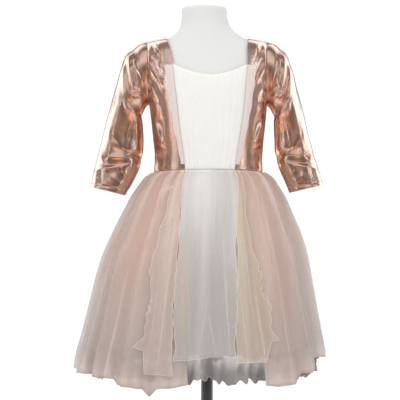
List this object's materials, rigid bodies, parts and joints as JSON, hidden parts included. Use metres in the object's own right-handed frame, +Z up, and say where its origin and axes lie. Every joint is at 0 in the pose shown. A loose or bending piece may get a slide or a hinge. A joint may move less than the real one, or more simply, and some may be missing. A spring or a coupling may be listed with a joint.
{
  "type": "girl's costume dress on a dress form with a stand",
  "caption": "Child's costume dress with a foil bodice and sleeves, a gathered front panel and a layered net skirt, worn by a limbless dress form on a pole and round base.",
  "frame": {"origin": "centre of the stand base's underside, on the floor", "axes": "+Z up along the pole, +X to the wearer's left, -Y to the front of the dress"},
  "size_m": [0.47, 0.4367, 1.0171],
  "materials": {
    "foil": "rose-gold metallic foil on stretch jersey, glossy",
    "satin": "ivory satin, soft sheen",
    "white_net": "fine white net, matt",
    "cream_net": "fine cream net, matt",
    "pink_net": "fine dusty-pink net, matt",
    "form_cover": "smooth white jersey-covered shell",
    "steel": "satin dark steel"
  },
  "bodies": {
    "root": {"front_centre": "satin", "front_centre_net": "white_net", "front_side_right": "foil", "front_side_left": "foil", "band_right": "pink_net", "band_left": "pink_net", "bodice_back": "foil", "sleeve_right": "foil", "sleeve_left": "foil", "skirt_lining_front": "satin", "skirt_lining_back": "satin", "petticoat_front": "white_net", "petticoat_back": "white_net", "net_pink_right": "pink_net", "net_pink_left": "pink_net", "net_top_right": "pink_net", "net_top_centre": "white_net", "net_top_left": "cream_net", "form_body": "form_cover", "stand_flange": "steel", "stand_pole": "steel", "stand_base": "steel"}
  },
  "joints": []
}
